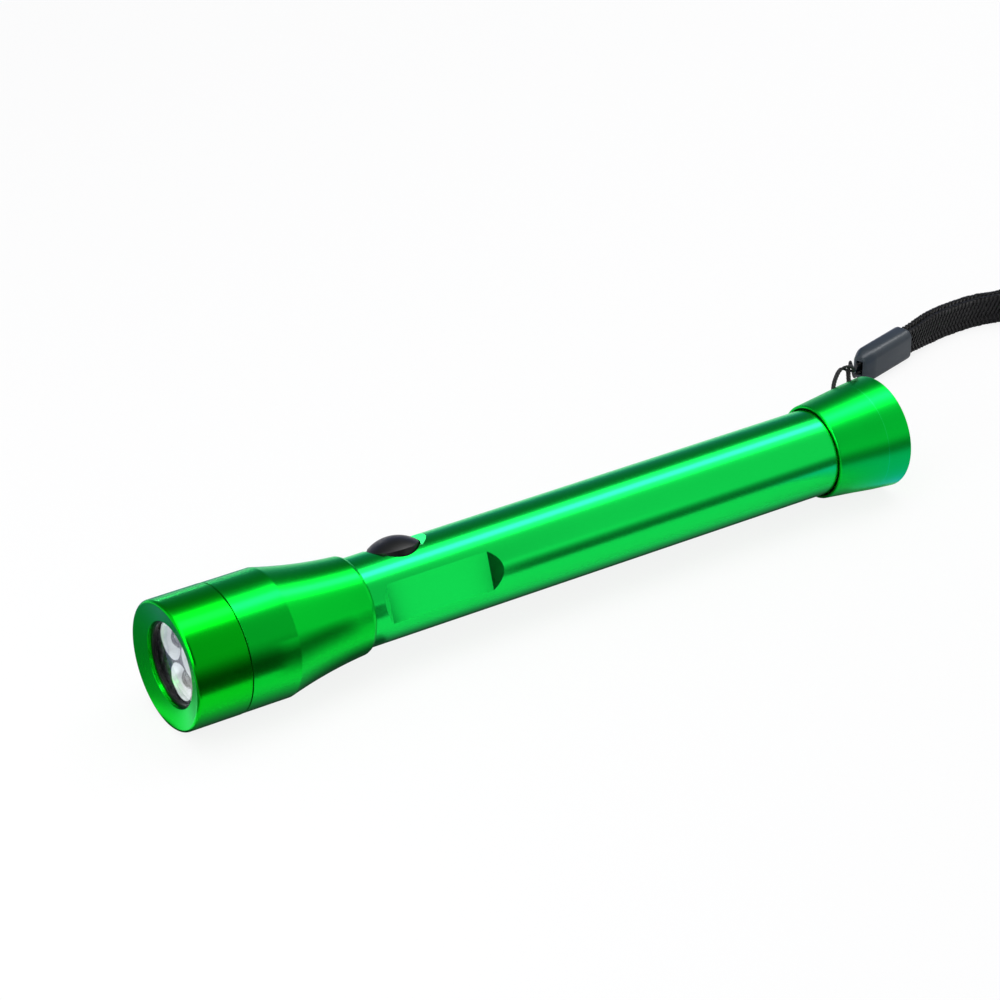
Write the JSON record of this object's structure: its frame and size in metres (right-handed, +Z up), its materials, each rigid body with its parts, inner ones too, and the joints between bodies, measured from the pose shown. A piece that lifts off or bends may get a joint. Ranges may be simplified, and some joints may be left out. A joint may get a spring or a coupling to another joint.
{
  "type": "hand torch",
  "caption": "Slim anodised aluminium hand torch with a flared head, diodes in cupped reflectors, a side push button, a screwed tail cap and a wrist strap.",
  "frame": {"origin": "on the ground plane, under the middle of the torch's length, with the torch lying down", "axes": "+X along the torch from head to tail, +Z up, -Y towards the side with the milled flat"},
  "size_m": [0.343, 0.0781, 0.0281],
  "materials": {
    "green_aluminium": "turned aluminium, green anodised, glossy with fine turning lines",
    "lens": "clear, polished",
    "reflector": "moulded plastic, vacuum metallised",
    "diode": "water-clear epoxy",
    "board": "glass-fibre circuit board",
    "rubber": "black moulded silicone rubber",
    "black_plastic": "black moulded plastic",
    "white_plastic": "white moulded plastic",
    "contact": "plain strip",
    "spring": "nickel-plated wire",
    "cell": null,
    "cord": "black twisted cord",
    "sleeve": "dark grey moulded plastic, satin",
    "strap": "black woven band"
  },
  "bodies": {
    "torch": {"bezel": "green_aluminium", "lens_seal": "rubber", "lens": "lens", "reflector": "reflector", "led_1": "diode", "led_2": "diode", "led_3": "diode", "led_board": "board", "head_shell": "green_aluminium", "bezel_o_ring": "rubber", "body_tube": "green_aluminium", "tail_o_ring": "rubber", "switch_body": "black_plastic", "switch_carrier": "black_plastic", "front_contact": "contact", "rear_contact": "contact", "front_spring": "spring", "cell_front": "cell", "cell_rear": "cell"},
    "button": {"button": "rubber", "switch_plunger": "white_plastic"},
    "tail_spring": {"tail_spring": "spring"},
    "tail_cap": {"tail_cap": "green_aluminium", "lanyard_cord": "cord", "strap_sleeve": "sleeve", "wrist_strap": "strap"}
  },
  "joints": [
    {"name": "button_press", "type": "slide", "parent": "torch", "child": "button", "axis": [-0.0075, -0.342, -0.9397], "range_m": [0, 0.001], "stiffness_N_per_m": 1500, "springref_m": -0.0003},
    {"name": "tail_cap_out", "type": "slide", "parent": "torch", "child": "tail_spring", "axis": [1, 0, -0.0079], "range_m": [0, 0.005]},
    {"name": "tail_cap_turn", "type": "hinge", "parent": "tail_spring", "child": "tail_cap", "pos_m": [0.07265, 0, 0.01284], "axis": [1, 0, -0.0079], "range_deg": [0, 1800]}
  ],
  "couplings": [
    {"joint": "tail_cap_turn", "follows": "tail_cap_out", "rad_per_m": 6283}
  ]
}
